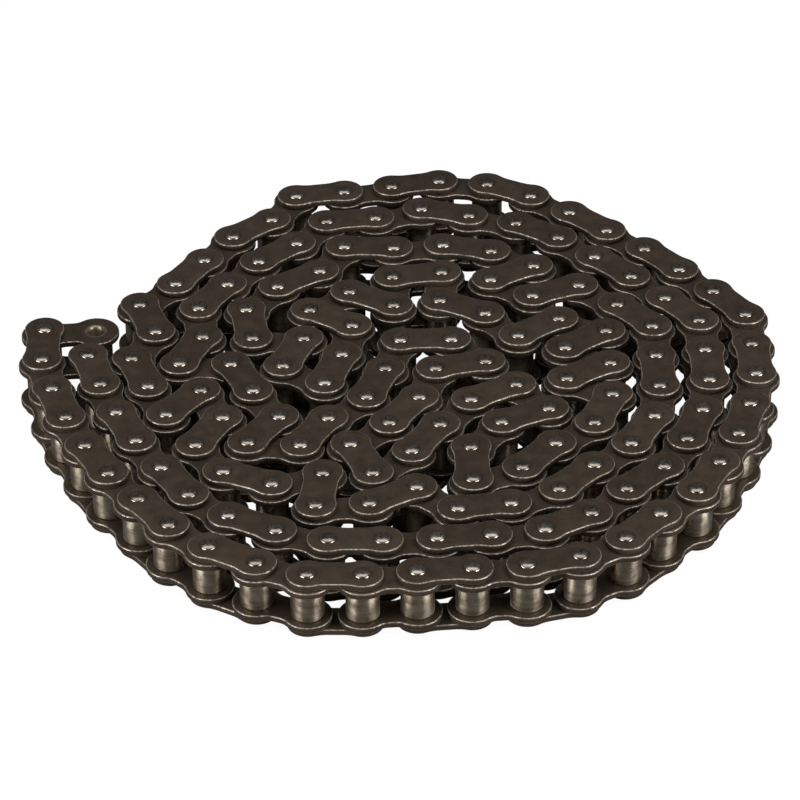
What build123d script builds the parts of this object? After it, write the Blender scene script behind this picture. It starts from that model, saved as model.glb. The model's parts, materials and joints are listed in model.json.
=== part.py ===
from build123d import *
import math
import os

# A riveted roller chain of 158 links, laid on its side and folded up flat.
# Millimetres. The chain lies in the XY plane, so every pin stands along Z.

# The chain itself
pitch = 19.05
roller_diameter = 11.91
roller_bore_clearance = 0.08      # radial, between roller and bush
inner_width = 12.57               # between the inner plates
roller_end_play = 0.15            # at each end of a roller
plate_thickness = 2.40
inner_plate_depth = 17.5
outer_plate_depth = 14.8
inner_waist = 12.4
outer_waist = 12.6
inner_waist_radius = 6.0
outer_waist_radius = 14.0
plate_edge_radius = 0.40
plate_play = 0.15                 # between inner and outer plates
pin_diameter = 5.96
pin_clearance = 0.06              # radial, between pin and bush
bush_wall = 1.15
rivet_height = 1.15               # pin end above the outer plate
rivet_land = 0.45                 # straight part of the pin end, below its dome
rivet_flat_radius = 1.10          # flat left in the middle of the dome
roller_edge_radius = 0.45
bush_edge_chamfer = 0.25

# The free end: its first links move on their own, the rest of the chain is one packed coil
free_pairs = 6                    # inner and outer link pairs that move

# The lay of the chain, from the open end of the first inner link.
# first_heading is the direction of that link, and each number is the turn at the
# next pin, in degrees, to the left where it is positive.
first_heading = -175
outermost_turn = [
    86, 14, 4, 6, 4, 8, 0, 12, 12, 8, 20, 6, 0, 0, 10, 16, 16, -2, 16, 4, 8,
    6, 12, 2, 32, 4, 2, 6, 0, 4, 12, 20, 18, 0, -2, 52, -22, 18, 0, -10,
]
left_step_inwards = [64, -46, 46, 2, 118, -114, -56]
second_turn_front = [62, 34, 42, -116, 100, 26, -70, 50, 16, 22, -4, 18, 20]
second_turn_right = [10, 0, 40, 6, 64, -56, -116, 118, 20, 18, -8]
third_turn_back = [64, -28, 20, 46, 80, -112, 78, 106, 8]
left_zigzag = [68, -108, -68, 120, -82, -102, 66, -24, 86]
right_zigzag = [-60, -120, 114, -118, 118, -82]
middle_loops = [
    -26, 8, -28, -110, -38, -28, 102, 82, 24, 4, -14, -108, -72, 12, 16, -58,
    118, 50, 72, -4, -26, 16, -64, -120, 66, -4, 62, -114,
]
way_out_at_the_back = [32, -40, -4, -12, 12, -46, 12, -34, -2, -16, -12, 0, -6, 0]
way_out_round_the_front = [
    -36, -2, -12, -10, -8, -18, 4, -18, -20, -4, -2, -4, -16, -10, -14, -16,
    -2, -6, -4, -4,
]
lay = (
    outermost_turn + left_step_inwards + second_turn_front + second_turn_right
    + third_turn_back + left_zigzag + right_zigzag + middle_loops
    + way_out_at_the_back + way_out_round_the_front
)

# Heights above and below the middle of the chain
inner_plate_near = inner_width / 2
inner_plate_far = inner_plate_near + plate_thickness
outer_plate_near = inner_plate_far + plate_play
outer_plate_far = outer_plate_near + plate_thickness
pin_end = outer_plate_far + rivet_height
bush_diameter = pin_diameter + 2 * (pin_clearance + bush_wall)


def pin_places():
    """Places of the pins along the chain, with its box centred on the origin."""
    heading = math.radians(first_heading)
    places = [(0.0, 0.0)]
    for turn in [0] + lay:
        heading += math.radians(turn)
        x, y = places[-1]
        places.append((x + pitch * math.cos(heading), y + pitch * math.sin(heading)))
    spans = [side_reach(places, axis) for axis in (0, 1)]
    middle = [(low + high) / 2 for low, high in spans]
    return [(x - middle[0], y - middle[1]) for x, y in places]


def side_reach(places, axis):
    """Lowest and highest reach of the plate ends along one axis."""
    low, high = [], []
    for link in range(len(places) - 1):
        end_radius = plate_end_radius(link)
        for place in places[link:link + 2]:
            low.append(place[axis] - end_radius)
            high.append(place[axis] + end_radius)
    return min(low), max(high)


def plate_end_radius(link):
    """Inner links are even, outer links odd."""
    depth = outer_plate_depth if link % 2 else inner_plate_depth
    return depth / 2


def link_locations(places):
    """One location per link: its middle, with X along the link."""
    locations = []
    for (x, y), (next_x, next_y) in zip(places, places[1:]):
        angle = math.degrees(math.atan2(next_y - y, next_x - x))
        locations.append(Location(((x + next_x) / 2, (y + next_y) / 2, pin_end), (0, 0, angle)))
    return locations


def plate(depth, waist, waist_radius, hole_diameter):
    """A waisted plate from Z 0 up: round ends, and arcs that run into a short straight waist."""
    end_radius = depth / 2
    half_pitch = pitch / 2
    # a deep plate takes a tighter waist arc, so a short straight is always left between the arcs
    span = half_pitch - plate_edge_radius
    widest_arc = (span ** 2 + (waist / 2) ** 2 - end_radius ** 2) / (depth - waist)
    waist_radius = min(waist_radius, widest_arc)
    reach = end_radius + waist_radius
    rise = waist / 2 + waist_radius
    flat = half_pitch - math.sqrt(reach ** 2 - rise ** 2)
    touch = end_radius / reach
    meet_x = half_pitch - (half_pitch - flat) * touch
    meet_y = rise * touch
    bend_x = flat + waist_radius * math.sin(math.atan2(half_pitch - flat, rise) / 2)
    bend_y = rise - waist_radius * math.cos(math.atan2(half_pitch - flat, rise) / 2)
    with BuildPart() as made:
        with BuildSketch():
            with BuildLine():
                for sign in (1, -1):
                    Line((-flat, sign * waist / 2), (flat, sign * waist / 2))
                    for side in (1, -1):
                        ThreePointArc(
                            (side * flat, sign * waist / 2),
                            (side * bend_x, sign * bend_y),
                            (side * meet_x, sign * meet_y),
                        )
                for side in (1, -1):
                    ThreePointArc(
                        (side * meet_x, meet_y),
                        (side * (half_pitch + end_radius), 0),
                        (side * meet_x, -meet_y),
                    )
            make_face()
        extrude(amount=plate_thickness)
        rims = made.edges().group_by(Axis.Z)
        fillet(rims[0] + rims[-1], plate_edge_radius)
        with Locations((-half_pitch, 0), (half_pitch, 0)):
            Hole(hole_diameter / 2)
    return made.part.solid()


def inner_plate():
    return plate(inner_plate_depth, inner_waist, inner_waist_radius, bush_diameter)


def outer_plate():
    return plate(outer_plate_depth, outer_waist, outer_waist_radius, pin_diameter)


def pin():
    """A pin with both ends riveted to a low dome."""
    radius = pin_diameter / 2
    land = outer_plate_far + rivet_land
    chord_x = (radius + rivet_flat_radius) / 2
    chord_z = (land + pin_end) / 2
    bulge = 0.12 * (radius - rivet_flat_radius)
    with BuildPart() as made:
        with BuildSketch(Plane.XZ):
            with BuildLine():
                for end in (1, -1):
                    Line((0, end * pin_end), (rivet_flat_radius, end * pin_end))
                    ThreePointArc(
                        (rivet_flat_radius, end * pin_end),
                        (chord_x + bulge, end * (chord_z + bulge)),
                        (radius, end * land),
                    )
                Line((radius, land), (radius, -land))
                Line((0, -pin_end), (0, pin_end))
            make_face()
        revolve(axis=Axis.Z)
    return made.part.solid()


def bush():
    """The tube that joins two inner plates and turns on the pin."""
    half_length = inner_plate_far
    with BuildPart() as made:
        Cylinder(bush_diameter / 2, 2 * half_length)
        Hole(pin_diameter / 2 + pin_clearance)
        ends = made.faces().filter_by(Plane.XY)
        mouths = [edge for face in ends for edge in face.inner_wires()[0].edges()]
        chamfer(mouths, bush_edge_chamfer)
    return made.part.solid()


def roller():
    """The roller that spins on the bush between the inner plates."""
    half_length = inner_plate_near - roller_end_play
    with BuildPart() as made:
        Cylinder(roller_diameter / 2, 2 * half_length)
        rims = made.edges().filter_by(GeomType.CIRCLE)
        fillet(rims, roller_edge_radius)
        Hole(bush_diameter / 2 + roller_bore_clearance)
    return made.part.solid()


def at_ends(piece, location):
    """The piece at both pins of a link."""
    return [piece.moved(location * Location((side * pitch / 2, 0, 0))) for side in (-1, 1)]


def at_height(piece, location, height):
    return piece.moved(location * Location((0, 0, height)))


def save(node, solids):
    export_step(Compound(label=node, children=solids), os.path.join("parts", node + ".step"))
    print(node, len(solids))


def save_free_end(locations, made):
    """Each link of the free end in nodes of its own, and each of its rollers too."""
    for number in range(free_pairs):
        inner, outer = locations[2 * number], locations[2 * number + 1]
        name = f"inner_link_{number + 1}"
        below = at_height(made["inner plate"], inner, -inner_plate_far)
        above = at_height(made["inner plate"], inner, inner_plate_near)
        save(name + "_plates", [below, above])
        save(name + "_bushes", at_ends(made["bush"], inner))
        for roller_name, solid in zip(("a", "b"), at_ends(made["roller"], inner)):
            save(f"{name}_roller_{roller_name}", [solid])
        name = f"outer_link_{number + 1}"
        below = at_height(made["outer plate"], outer, -outer_plate_far)
        above = at_height(made["outer plate"], outer, outer_plate_near)
        save(name + "_plates", [below, above])
        save(name + "_pins", at_ends(made["pin"], outer))


def save_coil(locations, made):
    """The rest of the chain, with like pieces together."""
    inner = locations[2 * free_pairs::2]
    outer = locations[2 * free_pairs + 1::2]
    plates = (
        ("coil_inner_plates_lower", "inner plate", inner, -inner_plate_far),
        ("coil_inner_plates_upper", "inner plate", inner, inner_plate_near),
        ("coil_outer_plates_lower", "outer plate", outer, -outer_plate_far),
        ("coil_outer_plates_upper", "outer plate", outer, outer_plate_near),
    )
    for node, piece, links, height in plates:
        save(node, [at_height(made[piece], link, height) for link in links])
    for node, piece, links in (
        ("coil_pins", "pin", outer),
        ("coil_bushes", "bush", inner),
        ("coil_rollers", "roller", inner),
    ):
        save(node, [solid for link in links for solid in at_ends(made[piece], link)])


def main():
    os.makedirs("parts", exist_ok=True)
    made = {
        "inner plate": inner_plate(),
        "outer plate": outer_plate(),
        "pin": pin(),
        "bush": bush(),
        "roller": roller(),
    }
    locations = link_locations(pin_places())
    save_free_end(locations, made)
    save_coil(locations, made)


if __name__ == "__main__":
    main()
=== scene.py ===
import bpy
import json
import math
import numpy as np
from mathutils import Matrix, Vector


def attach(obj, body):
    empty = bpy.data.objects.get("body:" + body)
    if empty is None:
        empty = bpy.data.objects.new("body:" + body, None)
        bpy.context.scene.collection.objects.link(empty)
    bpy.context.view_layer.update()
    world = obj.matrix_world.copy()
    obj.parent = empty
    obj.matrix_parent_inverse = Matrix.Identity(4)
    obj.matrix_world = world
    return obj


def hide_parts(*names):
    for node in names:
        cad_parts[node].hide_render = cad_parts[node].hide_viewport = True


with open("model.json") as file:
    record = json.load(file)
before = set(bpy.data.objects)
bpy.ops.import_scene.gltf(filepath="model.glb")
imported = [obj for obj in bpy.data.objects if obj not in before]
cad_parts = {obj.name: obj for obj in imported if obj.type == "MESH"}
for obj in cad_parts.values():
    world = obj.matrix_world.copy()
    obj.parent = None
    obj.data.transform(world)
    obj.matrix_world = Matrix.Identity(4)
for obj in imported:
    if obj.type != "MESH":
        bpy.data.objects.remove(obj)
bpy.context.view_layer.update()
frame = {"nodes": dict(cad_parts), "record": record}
mm = 0.001
nodeNames = sorted(frame["nodes"])
bodyOf = {node: body for body, members in frame["record"]["behaviour"]["bodies"].items() for node in members}


weldDigits = 4       # points that agree to this many decimals of a mm are one
slender = 1.2        # a plate is longer than this many times its width, and a turned piece isn't
crease = 50          # sharpest bend that is still shaded smooth, in degrees


# meshes as surfaces on grids

plateForm = {
    "pitch": 19.05,
    "thickness": 2.40,
    "edge": 0.42,            # radius of the rim
    "endSteps": 22,
    "waistSteps": 6,
    "rimSteps": 3,
    "collar": 2.2,           # width of the row of faces beside the hole
    "outer": {"depth": 14.8, "waist": 12.6, "waistRadius": 14.0, "hole": 5.96},
    "inner": {"depth": 17.5, "waist": 12.4, "waistRadius": 6.0, "hole": 8.38},
}


# One half of a waisted plate, round its pin at x = half the pitch.
# The end is an arc about the pin; an arc that touches it from outside leads to the flat waist at x = 0;
# the last points cross the plate there, where the two halves meet. Gives points, outward normals and a cut mark.
def plateOutline(form):
    half = plateForm["pitch"] / 2
    radius, waist, bend = form["depth"] / 2, form["waist"] / 2, form["waistRadius"]
    reach, rise = radius + bend, waist + bend
    flat = half - math.sqrt(reach ** 2 - rise ** 2)
    lean = math.atan2(half - flat, rise)                      # turn of the waist arc
    start = math.pi / 2 + lean                                # where the end arc stops
    a = np.linspace(-start, start, plateForm["endSteps"] + 1)
    end = np.c_[half + radius * np.cos(a), radius * np.sin(a)]
    endNormal = np.c_[np.cos(a), np.sin(a)]
    b = np.linspace(lean, 0, plateForm["waistSteps"] + 1)[1:]
    side = np.c_[flat + bend * np.sin(b), rise - bend * np.cos(b)]
    sideNormal = np.c_[-np.sin(b), np.cos(b)]
    middle, up = np.array([[0.0, waist]]), np.array([[0.0, 1.0]])
    across = np.array([[0.0, 0.5], [0.0, 0.0], [0.0, -0.5]]) * (waist - plateForm["edge"])
    mirror = np.array([1, -1])
    points = np.vstack([end, side, middle, across, middle * mirror, side[::-1] * mirror])
    normals = np.vstack([endNormal, sideNormal, up, across * 0, up * mirror, sideNormal[::-1] * mirror])
    cut = (normals ** 2).sum(1) < 0.5
    return points, normals, cut


# A plate as a closed band: each outline point carries a section that starts in the pin hole, crosses the top
# face, rolls over the rim with a quarter circle, drops down the edge, rolls under and comes back to the hole.
def plateSurface(form):
    points, normals, cut = plateOutline(form)
    half, t, e = plateForm["pitch"] / 2, plateForm["thickness"], plateForm["edge"]
    towards = points - [half, 0]
    hole = [half, 0] + towards / np.hypot(*towards.T)[:, None] * form["hole"] / 2
    inset = points - normals * e
    roll = np.linspace(0, math.pi / 2, plateForm["rimSteps"] + 1)
    near = np.minimum(1.0, plateForm["collar"] / np.hypot(*(inset - hole).T))[:, None]
    collar = hole + (inset - hole) * near
    rows = [np.c_[hole, hole[:, 0] * 0], np.c_[hole, hole[:, 0] * 0 + t], np.c_[collar, collar[:, 0] * 0 + t]]
    flatRows = len(rows)
    # rim marks: 0 on the flat faces, highest halfway round each rounded edge, where the plate material paints worn
    # metal and a highlight
    rim = [0] * flatRows
    for angle in roll:
        rows.append(np.c_[inset + normals * e * math.sin(angle), hole[:, 0] * 0 + t - e + e * math.cos(angle)])
        rim.append(math.sin(2 * angle))
    for angle in roll[::-1]:
        rows.append(np.c_[inset + normals * e * math.sin(angle), hole[:, 0] * 0 + e - e * math.cos(angle)])
        rim.append(math.sin(2 * angle))
    grid = np.array(rows)
    rowCount, count = grid.shape[:2]
    row, col = np.meshgrid(np.arange(rowCount), np.arange(count), indexing="ij")
    nextRow, nextCol = (row + 1) % rowCount, (col + 1) % count
    here, above = row * count, nextRow * count
    faces = np.stack([here + col, here + nextCol, above + nextCol, above + col], -1)
    overRim = (row >= flatRows) & (row < rowCount - 1)
    keep = ~(overRim & (cut[col] | cut[nextCol]))
    faces = faces[keep]
    verts = grid.reshape(-1, 3)
    rimMark = np.repeat(rim, count)
    turned = verts * [-1, -1, 1]
    return weld(np.vstack([verts, turned]), np.vstack([faces, faces + len(verts)]), np.r_[rimMark, rimMark])


# Merges points that coincide; the sides that shrink away stay until addPiece drops them.
def weld(verts, faces, mark):
    _, first, back = np.unique(np.round(verts, weldDigits), axis=0, return_index=True, return_inverse=True)
    faces = back.reshape(-1)[faces]
    return verts[first], faces, mark[first]


# A closed profile of radius and height carried round Z; a radius of 0 closes to a pole.
def revolved(profile, steps, marks):
    profile = np.asarray(profile, float)
    turn = np.arange(steps) / steps * 2 * math.pi
    verts = np.stack([
        profile[:, None, 0] * np.cos(turn), profile[:, None, 0] * np.sin(turn),
        np.broadcast_to(profile[:, None, 1], (len(profile), steps)),
    ], -1).reshape(-1, 3)
    row, col = np.meshgrid(np.arange(len(profile)), np.arange(steps), indexing="ij")
    nextRow, nextCol = (row + 1) % len(profile), (col + 1) % steps
    here, above = row * steps, nextRow * steps
    faces = np.stack([here + col, here + nextCol, above + nextCol, above + col], -1)
    axis = (profile[row, 0] == 0) & (profile[nextRow, 0] == 0)
    return weld(verts, faces[~axis], np.repeat(marks, steps))


# Points of a rounded corner at the rim of a turned piece, and a mark of 1 for each.
def arcOver(radius, height, edge, steps, upper):
    angles = np.linspace(0, math.pi / 2, steps + 1)
    if not upper:
        angles = angles[::-1]
    sign = 1 if upper else -1
    points = [(radius - edge + edge * math.sin(a), sign * (height - edge + edge * math.cos(a))) for a in angles]
    return points, [1.0 for a in angles]


turnedForms = {
    "pins": {"radius": 2.98, "landing": 0.95, "flat": 0.95, "bulge": 0.17, "domeSteps": 6, "steps": 24},
    "bushes": {"radius": 4.19, "bore": 3.04, "chamfer": 0.25, "steps": 24},
    "rollers": {"radius": 5.955, "bore": 4.27, "edge": 0.45, "edgeSteps": 3, "steps": 32},
}


# A rod whose ends are domed by an arc from a short straight land to a small flat.
def pinSurface(halfLength):
    form = turnedForms["pins"]
    low, high = form["flat"], form["radius"]
    land = halfLength - form["landing"]
    t = np.linspace(0, 1, form["domeSteps"])
    bow = form["bulge"] * np.sin(t * math.pi)
    dome = np.c_[high + (low - high) * t + bow, land + form["landing"] * t + bow]
    upper = np.vstack([dome, [[0, halfLength]]])
    profile = np.vstack([upper, (upper * [1, -1])[::-1]])[::-1]
    marks = [1.0 if abs(z) > land else 0.0 for r, z in profile]
    return revolved(profile, form["steps"], marks)


# A tube with a chamfer at each mouth.
def bushSurface(halfLength):
    form = turnedForms["bushes"]
    r, bore, c = form["radius"], form["bore"], form["chamfer"]
    profile = [(r, -halfLength), (r, halfLength), (bore + c, halfLength), (bore, halfLength - c),
               (bore, c - halfLength), (bore + c, -halfLength)][::-1]
    return revolved(profile, form["steps"], [0.5] * len(profile))


# A thick tube whose rims are rounded by quarter circles.
def rollerSurface(halfLength):
    form = turnedForms["rollers"]
    upper, upperMark = arcOver(form["radius"], halfLength, form["edge"], form["edgeSteps"], True)
    lower, lowerMark = arcOver(form["radius"], halfLength, form["edge"], form["edgeSteps"], False)
    profile = [(form["bore"], halfLength)] + upper + lower + [(form["bore"], -halfLength)]
    marks = [0.0] + upperMark + lowerMark + [0.0]
    return revolved(profile[::-1], form["steps"], marks[::-1])


# where the frame's solids lie

# Each separate solid of a node: its middle, lowest and highest Z and the heading of its long side, in mm.
# Points that share a triangle take the lowest label among them until nothing changes; the middle and the
# heading are the mean and the main axis of the triangles, weighed by area.
def islands(node):
    mesh = frame["nodes"][node].data
    verts = np.empty(len(mesh.vertices) * 3)
    mesh.vertices.foreach_get("co", verts)
    verts = verts.reshape(-1, 3) / mm
    mesh.calc_loop_triangles()
    tris = np.empty(len(mesh.loop_triangles) * 3, int)
    mesh.loop_triangles.foreach_get("vertices", tris)
    tris = tris.reshape(-1, 3)
    _, back = np.unique(np.round(verts, 3), axis=0, return_inverse=True)
    welded = back.reshape(-1)[tris]
    label = np.arange(welded.max() + 1)
    while True:
        lowest = label[welded].min(1)
        new = label.copy()
        for corner in range(3):
            np.minimum.at(new, welded[:, corner], lowest)
        new = new[new]
        if (new == label).all():
            break
        label = new
    _, which = np.unique(label[welded[:, 0]], return_inverse=True)
    which = which.reshape(-1)
    corners = verts[tris]
    area = np.linalg.norm(np.cross(corners[:, 1] - corners[:, 0], corners[:, 2] - corners[:, 0]), axis=1)
    total = np.bincount(which, area)
    centre = corners.mean(1)
    middle = np.stack([np.bincount(which, area * centre[:, k]) / total for k in range(3)], 1)
    off = centre - middle[which]
    xx, yy, xy = (np.bincount(which, area * off[:, i] * off[:, j]) for i, j in ((0, 0), (1, 1), (0, 1)))
    heading = 0.5 * np.arctan2(2 * xy, xx - yy)
    low, high = np.full(len(total), np.inf), np.full(len(total), -np.inf)
    np.minimum.at(low, which, corners[:, :, 2].min(1))
    np.maximum.at(high, which, corners[:, :, 2].max(1))
    return middle, heading, low, high


# Copies of a surface, each turned to its heading and moved to its middle, as one mesh's arrays.
def placed(master, middle, heading, lift):
    verts, faces, mark = master
    c, s = np.cos(heading)[:, None], np.sin(heading)[:, None]
    x = verts[None, :, 0] * c - verts[None, :, 1] * s + middle[:, 0:1]
    y = verts[None, :, 0] * s + verts[None, :, 1] * c + middle[:, 1:2]
    z = verts[None, :, 2] + lift[:, None]
    count = len(middle)
    allFaces = faces[None] + (np.arange(count) * len(verts))[:, None, None]
    long = np.ptp(verts[:, 0]) > slender * np.ptp(verts[:, 1])
    ownMap = verts[:, :2] if long else np.c_[np.arctan2(verts[:, 1], verts[:, 0]), verts[:, 2]]
    own = np.broadcast_to(ownMap[None], (count, len(verts), 2))
    number = np.repeat(np.arange(count), len(verts))
    points = np.stack([x, y, z], -1).reshape(-1, 3)
    return points, allFaces.reshape(-1, 4), np.tile(mark, count), own.reshape(-1, 2), number


shuffle = {"number": 12.9898, "seed": 78.233, "size": 43758.5453}


# One steady value from 0 to 1 for each copy: the fraction of a large sine of its number.
def pieceNoise(number, seed):
    value = np.sin((number + 1) * shuffle["number"] + seed * shuffle["seed"]) * shuffle["size"]
    return value - np.floor(value)


def addPiece(name, arrays, node, material, seed):
    verts, faces, mark, own, number = arrays
    distinct = (faces != np.roll(faces, 1, axis=1)).sum(1)
    faceList = [list(dict.fromkeys(face)) for face in faces.tolist()] if (distinct < 4).any() else faces.tolist()
    faceList = [face for face in faceList if len(face) > 2]
    mesh = bpy.data.meshes.new(name)
    mesh.from_pydata((verts * mm).tolist(), [], faceList)
    mesh.update()
    rim = mesh.attributes.new("rim", "FLOAT", "POINT")
    rim.data.foreach_set("value", mark.astype(np.float32))
    tone = mesh.attributes.new("tone", "FLOAT", "POINT")
    tone.data.foreach_set("value", pieceNoise(number, seed).astype(np.float32))
    uv = mesh.uv_layers.new(name="own")
    loops = np.empty(len(mesh.loops), int)
    mesh.loops.foreach_get("vertex_index", loops)
    uv.data.foreach_set("uv", own[loops].astype(np.float32).reshape(-1))
    mesh.polygons.foreach_set("use_smooth", np.ones(len(mesh.polygons), bool))
    mesh.set_sharp_from_angle(angle=math.radians(crease))
    mesh.materials.append(material)
    piece = bpy.data.objects.new(name, mesh)
    bpy.context.scene.collection.objects.link(piece)
    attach(piece, bodyOf[node])
    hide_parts(node)
    return piece


# shader maths

# Wraps a node's output so that shader maths can be written as expressions.
class Socket:
    def __init__(self, tree, output):
        self.tree, self.output = tree, output

    def maths(self, operation, *values):
        return makeNode(self.tree, "ShaderNodeMath", {"operation": operation}, dict(enumerate(values)))

    def __add__(self, other):
        return self.maths("ADD", self, other)

    def __mul__(self, other):
        return self.maths("MULTIPLY", self, other)

    def __sub__(self, other):
        return self.maths("SUBTRACT", self, other)

    def __rsub__(self, other):
        return self.maths("SUBTRACT", other, self)

    def __pow__(self, other):
        return self.maths("POWER", self, other)

    __radd__ = __add__
    __rmul__ = __mul__

    # 0 below low, 1 above high and straight in between.
    def between(self, low, high):
        ends = {0: self, 1: low, 2: high, 3: 0.0, 4: 1.0}
        return makeNode(self.tree, "ShaderNodeMapRange", {"clamp": True}, ends)


# Makes a node, sets its settings, then its sockets from values or links.
def makeNode(tree, kind, settings, inputs, output=0):
    node = tree.nodes.new(kind)
    for key, value in settings.items():
        setattr(node, key, value)
    for key, value in inputs.items():
        if isinstance(value, Socket):
            tree.links.new(value.output, node.inputs[key])
        else:
            node.inputs[key].default_value = value
    return Socket(tree, node.outputs[output])


def mixColour(tree, factor, first, second):
    node = tree.nodes.new("ShaderNodeMix")
    node.data_type = "RGBA"
    for slot, value in ((0, factor), (6, first), (7, second)):
        if isinstance(value, Socket):
            tree.links.new(value.output, node.inputs[slot])
        else:
            node.inputs[slot].default_value = value if slot == 0 else (*value, 1)
    return Socket(tree, node.outputs[2])


def newMaterial(name):
    material = bpy.data.materials.new(name)
    material.use_nodes = True
    tree = material.node_tree
    tree.nodes.clear()
    shader = tree.nodes.new("ShaderNodeBsdfPrincipled")
    out = tree.nodes.new("ShaderNodeOutputMaterial")
    tree.links.new(shader.outputs[0], out.inputs[0])
    return material, tree, shader


def connect(tree, shader, **inputs):
    names = {"colour": "Base Color", "roughness": "Roughness", "metallic": "Metallic", "normal": "Normal"}
    for key, value in inputs.items():
        if isinstance(value, Socket):
            tree.links.new(value.output, shader.inputs[names[key]])
        else:
            shader.inputs[names[key]].default_value = value


def coordinates(tree):
    return makeNode(tree, "ShaderNodeTexCoord", {}, {}, 3)


def noise(tree, scale, detail, vector, roughness=0.55):
    inputs = {"Vector": vector, "Scale": scale, "Detail": detail, "Roughness": roughness}
    return makeNode(tree, "ShaderNodeTexNoise", {}, inputs)


def attribute(tree, name):
    return makeNode(tree, "ShaderNodeAttribute", {"attribute_name": name}, {}, 2)


def bump(tree, height, strength, distance):
    return makeNode(tree, "ShaderNodeBump", {}, {"Height": height, "Strength": strength, "Distance": distance})


plateFinish = {
    "dark": (0.0285, 0.0208, 0.0142),
    "light": (0.0560, 0.0415, 0.0295),
    # lighter rim colour: partly bare worn metal, partly a painted highlight along the rounded edges
    "worn": (0.55, 0.50, 0.43),
    "oil": (0.018, 0.015, 0.012),
    "roughness": 0.30,
    "metallic": 0.35,
    "coat": 0.08,
    "coatRoughness": 0.14,
    "grazingTint": (0.22, 0.195, 0.165),
    "patchScale": 180,       # mottling of the oxide, per metre
    "patchRange": (0.3, 0.72),
    "patchShare": 0.55,
    "scuffScale": 720,
    "scuffRoughness": 0.7,
    "scuffRange": (0.45, 0.8),
    "scuffShare": 0.25,
    "toneShare": 0.35,       # how far one link differs from the next
    "pinRing": (3.1, 3.9),   # darker ring round each pin, mm from its middle
    "ringShare": 0.55,
    "wearRange": (0.34, 0.72),
    "wearShare": 0.75,
    "wearShine": 0.16,
    "wearMetal": 0.4,
    "patchDull": 0.12,
    "dullRange": (0.35, 0.7),
    "scuffDull": 0.08,
    "grainScale": 2600,      # fine rolled grain
    "grainShare": 0.35,
    "bumpStrength": 0.16,
    "bumpDepth": 0.00012,
}


# Heat-darkened, oiled steel: mottled oxide, fine grain, lighter rims that are partly bare worn metal and partly
# a painted highlight along the rounded edges, and a darker ring round each pin.
def plateSteel():
    f = plateFinish
    material, tree, shader = newMaterial("plateSteel")
    place = coordinates(tree)
    patches = noise(tree, f["patchScale"], 5, place)
    fine = noise(tree, f["grainScale"], 3, place)
    scuffs = noise(tree, f["scuffScale"], 4, place, f["scuffRoughness"])
    tone = attribute(tree, "tone")
    rim = attribute(tree, "rim")
    own = makeNode(tree, "ShaderNodeUVMap", {"uv_map": "own"}, {})
    along = makeNode(tree, "ShaderNodeSeparateXYZ", {}, {0: own})
    across = Socket(tree, along.output.node.outputs[1])
    fromPin = along.maths("ABSOLUTE", along) - plateForm["pitch"] / 2
    away = (fromPin * fromPin + across * across) ** 0.5
    # the plate colour darkens in a ring round each pin
    ring = 1 - away.between(*f["pinRing"])
    shade = patches.between(*f["patchRange"]) * f["patchShare"] + tone * f["toneShare"]
    shade = shade + scuffs.between(*f["scuffRange"]) * f["scuffShare"]
    base = mixColour(tree, shade, f["dark"], f["light"])
    ringed = mixColour(tree, ring * f["ringShare"], base, f["oil"])
    # along the rims the colour turns lighter: partly worn bare metal, partly a painted highlight for the thin
    # bright edge lines
    wearAndHighlight = rim * scuffs.between(*f["wearRange"])
    colour = mixColour(tree, wearAndHighlight * f["wearShare"], ringed, f["worn"])
    rough = f["roughness"] + patches.between(*f["dullRange"]) * f["patchDull"] + scuffs * f["scuffDull"]
    rough = rough - wearAndHighlight * f["wearShine"]
    connect(tree, shader, colour=colour, roughness=rough, metallic=f["metallic"] + wearAndHighlight * f["wearMetal"])
    relief = fine * f["grainShare"] + patches * (1 - f["grainShare"])
    connect(tree, shader, normal=bump(tree, relief, f["bumpStrength"], f["bumpDepth"]))
    shader.inputs["Coat Weight"].default_value = f["coat"]
    shader.inputs["Coat Roughness"].default_value = f["coatRoughness"]
    shader.inputs["Specular Tint"].default_value = (*f["grazingTint"], 1)
    return material


pinFinish = {
    "dark": (0.085, 0.071, 0.056),
    "light": (0.24, 0.212, 0.178),
    "roughness": 0.25,
    "metallic": 0.95,
    "dentScale": 900,
    "dentRange": (0.35, 0.65),
    "dentShare": 0.5,
    "toneShare": 0.4,
    "dullRange": (0.4, 0.7),
    "dentDull": 0.14,
    "bumpStrength": 0.07,
    "bumpDepth": 0.00015,
}


# Hardened pins: grey, with the dome hammered a little.
def pinSteel():
    f = pinFinish
    material, tree, shader = newMaterial("pinSteel")
    dents = noise(tree, f["dentScale"], 3, coordinates(tree))
    shade = dents.between(*f["dentRange"]) * f["dentShare"] + attribute(tree, "tone") * f["toneShare"]
    colour = mixColour(tree, shade, f["dark"], f["light"])
    rough = f["roughness"] + dents.between(*f["dullRange"]) * f["dentDull"]
    connect(tree, shader, colour=colour, roughness=rough, metallic=f["metallic"])
    connect(tree, shader, normal=bump(tree, dents, f["bumpStrength"], f["bumpDepth"]))
    return material


rollerFinish = {
    "dark": (0.225, 0.182, 0.124),
    "light": (0.60, 0.520, 0.400),
    "roughness": 0.27,
    "metallic": 0.95,
    "along": 0.80,           # how much longer gloss is along the roller, across its turned grooves
    "quarterTurn": 0.25,     # the grooves run round Z, so gloss is stretched a quarter turn from them
    "bandScale": 1000,
    "bandSquash": (0.02, 0.02, 1.0),
    "bandRange": (0.35, 0.65),
    "bandShare": 0.35,
    "smearScale": 260,
    "smearRange": (0.35, 0.7),
    "smearShare": 0.4,
    "toneShare": 0.25,
    "dullRange": (0.4, 0.7),
    "smearDull": 0.10,
    "bandRelief": 0.7,
    "bumpStrength": 0.06,
    "bumpDepth": 0.0001,
}


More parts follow.
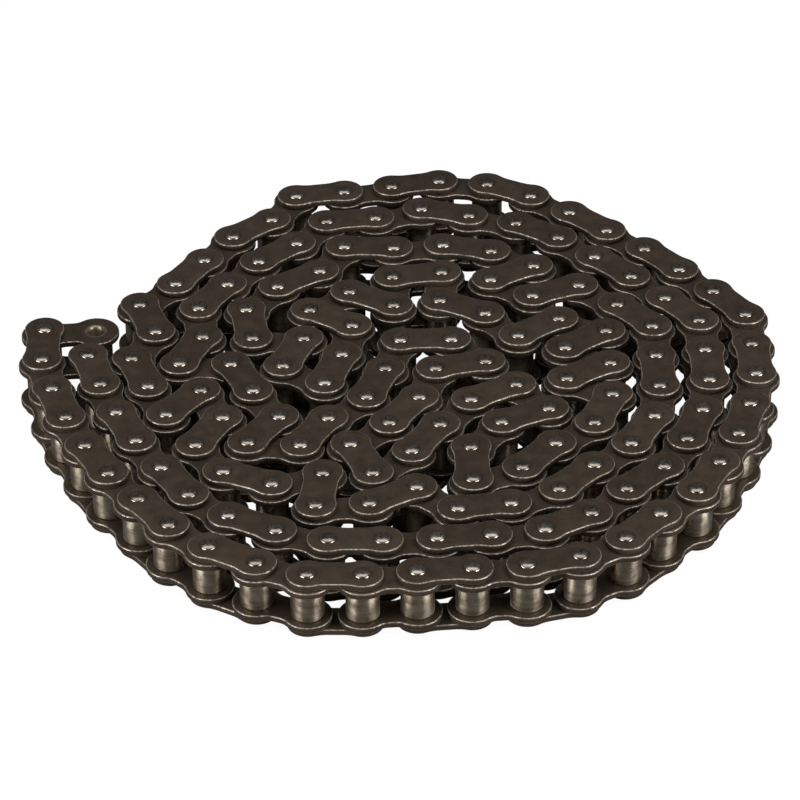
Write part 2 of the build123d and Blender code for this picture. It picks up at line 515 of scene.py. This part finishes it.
# Tumbled rollers with a bronze-grey oily sheen, faint turned bands and darker smears.
def rollerSteel():
    f = rollerFinish
    material, tree, shader = newMaterial("rollerSteel")
    place = coordinates(tree)
    squashed = makeNode(tree, "ShaderNodeMapping", {}, {"Vector": place, "Scale": f["bandSquash"]})
    bands = noise(tree, f["bandScale"], 3, squashed)
    smears = noise(tree, f["smearScale"], 4, place)
    shade = bands.between(*f["bandRange"]) * f["bandShare"] + smears.between(*f["smearRange"]) * f["smearShare"]
    shade = shade + attribute(tree, "tone") * f["toneShare"]
    colour = mixColour(tree, shade, f["dark"], f["light"])
    rough = f["roughness"] + smears.between(*f["dullRange"]) * f["smearDull"]
    connect(tree, shader, colour=colour, roughness=rough, metallic=f["metallic"])
    relief = bands * f["bandRelief"] + smears * (1 - f["bandRelief"])
    connect(tree, shader, normal=bump(tree, relief, f["bumpStrength"], f["bumpDepth"]))
    shader.inputs["Anisotropic"].default_value = f["along"]
    shader.inputs["Anisotropic Rotation"].default_value = f["quarterTurn"]
    return material


bushFinish = {
    "dark": (0.13, 0.11, 0.08),
    "light": (0.30, 0.26, 0.20),
    "roughness": 0.34,
    "metallic": 0.9,
    "stainScale": 450,
    "stainRange": (0.3, 0.7),
    "grainScale": 1500,
    "grainDull": 0.12,
    "bumpStrength": 0.2,
    "bumpDepth": 0.0001,
}


# Rolled bushes, duller than the pins and stained with oil.
def bushSteel():
    f = bushFinish
    material, tree, shader = newMaterial("bushSteel")
    place = coordinates(tree)
    stain = noise(tree, f["stainScale"], 4, place)
    fine = noise(tree, f["grainScale"], 3, place)
    colour = mixColour(tree, stain.between(*f["stainRange"]), f["dark"], f["light"])
    rough = f["roughness"] + fine * f["grainDull"]
    connect(tree, shader, colour=colour, roughness=rough, metallic=f["metallic"])
    connect(tree, shader, normal=bump(tree, fine, f["bumpStrength"], f["bumpDepth"]))
    return material


# floor, light and camera

studio = {
    "floorSize": 6.0,
    "floorColour": (0.05, 0.05, 0.05),
    "floorRoughness": 0.9,
    "floorToEye": 0.96,          # plain white added where the eye meets the floor
    "floorToGloss": 0.02,
    "worldStrength": 0.11,
    "lampTarget": (0, 0, 0.02),
    "lamps": {                   # place, width, height, brightness of its face
        "overhead": ((0.0, -0.20, 1.15), 2.4, 0.80, 4.2),
        "leftCard": ((-0.88, -0.62, 0.15), 0.66, 0.30, 23.0),
        "rightCard": ((0.88, -0.62, 0.15), 0.66, 0.30, 23.0),
    },
}


# A flat square that takes the object's shadow, with plain white added for the eye and a little for gloss.
def buildFloor():
    size = studio["floorSize"] / 2
    mesh = bpy.data.meshes.new("floor")
    mesh.from_pydata([(-size, -size, 0), (size, -size, 0), (size, size, 0), (-size, size, 0)], [], [(0, 1, 2, 3)])
    floor = bpy.data.objects.new("floor", mesh)
    bpy.context.scene.collection.objects.link(floor)
    material, tree, shader = newMaterial("floorWhite")
    shader.inputs["Base Color"].default_value = (*studio["floorColour"], 1)
    shader.inputs["Roughness"].default_value = studio["floorRoughness"]
    shader.inputs["Specular IOR Level"].default_value = 0.0
    shader.inputs["Emission Color"].default_value = (1, 1, 1, 1)
    path = tree.nodes.new("ShaderNodeLightPath")
    eye, gloss, through = (Socket(tree, path.outputs[name])
                           for name in ("Is Camera Ray", "Is Glossy Ray", "Is Transmission Ray"))
    added = (eye + through) * studio["floorToEye"] + gloss * studio["floorToGloss"]
    tree.links.new(added.output, shader.inputs["Emission Strength"])
    mesh.materials.append(material)


def buildWorld():
    world = bpy.data.worlds.new("studio")
    bpy.context.scene.world = world
    world.use_nodes = True
    tree = world.node_tree
    tree.nodes.clear()
    out = tree.nodes.new("ShaderNodeOutputWorld")
    path = tree.nodes.new("ShaderNodeLightPath")
    seen = Socket(tree, path.outputs["Is Camera Ray"])
    soft = makeNode(tree, "ShaderNodeBackground", {}, {"Color": (1, 1, 1, 1), "Strength": studio["worldStrength"]})
    white = makeNode(tree, "ShaderNodeBackground", {}, {"Color": (1, 1, 1, 1), "Strength": 1.0})
    mixed = makeNode(tree, "ShaderNodeMixShader", {}, {0: seen, 1: soft, 2: white})
    tree.links.new(mixed.output, out.inputs[0])


# Soft boxes that face the middle of the chain; power is brightness times pi times area.
def addLamps():
    target = Vector(studio["lampTarget"])
    for name, (place, width, height, brightness) in studio["lamps"].items():
        data = bpy.data.lights.new(name, "AREA")
        data.shape = "RECTANGLE"
        data.size, data.size_y = width, height
        data.energy = brightness * math.pi * width * height
        lamp = bpy.data.objects.new(name, data)
        lamp.location = place
        lamp.rotation_euler = (target - Vector(place)).to_track_quat("-Z", "Y").to_euler()
        bpy.context.scene.collection.objects.link(lamp)


view = {
    "target": (0.0008, -0.0242, 0.0242),   # what the middle of the view looks at
    "elevation": 35.9,
    "distance": 1.4305,
    "lens": 176.7,
    "roll": -0.37,
    "sensor": 36,
    "farthest": 20,
}


def buildCamera():
    e = math.radians(view["elevation"])
    target = Vector(view["target"])
    data = bpy.data.cameras.new("camera")
    data.lens = view["lens"]
    data.sensor_width = view["sensor"]
    data.clip_end = view["farthest"]
    camera = bpy.data.objects.new("camera", data)
    camera.location = target + view["distance"] * Vector((0, -math.cos(e), math.sin(e)))
    turn = Matrix.Rotation(math.pi / 2 - e, 4, "X") @ Matrix.Rotation(math.radians(view["roll"]), 4, "Z")
    camera.rotation_euler = turn.to_euler()
    bpy.context.scene.collection.objects.link(camera)
    bpy.context.scene.camera = camera


# the chain

def camel(node):
    words = node.split("_")
    return words[0] + "".join(word.capitalize() for word in words[1:])


def buildChain():
    materials = {"plates": plateSteel(), "pins": pinSteel(), "rollers": rollerSteel(), "bushes": bushSteel()}
    masters = {kind: plateSurface(plateForm[kind]) for kind in ("outer", "inner")}
    makers = {"pins": pinSurface, "bushes": bushSurface, "rollers": rollerSurface}
    for seed, node in enumerate(nodeNames):
        middle, heading, low, high = islands(node)
        if "plates" in node:
            kind, master = "plates", masters["inner" if "inner" in node else "outer"]
            lift = low
        else:
            kind = next(word for word in makers if word[:4] in node)
            master = makers[kind]((high[0] - low[0]) / 2)
            lift = (low + high) / 2
            heading = heading * 0
        addPiece(camel(node), placed(master, middle, heading, lift), node, materials[kind], seed)
    print("chain pieces:", len(nodeNames))


buildChain()
buildFloor()
buildWorld()
addLamps()
buildCamera()
bpy.context.scene.view_settings.view_transform = "Standard"
print("studio ready")
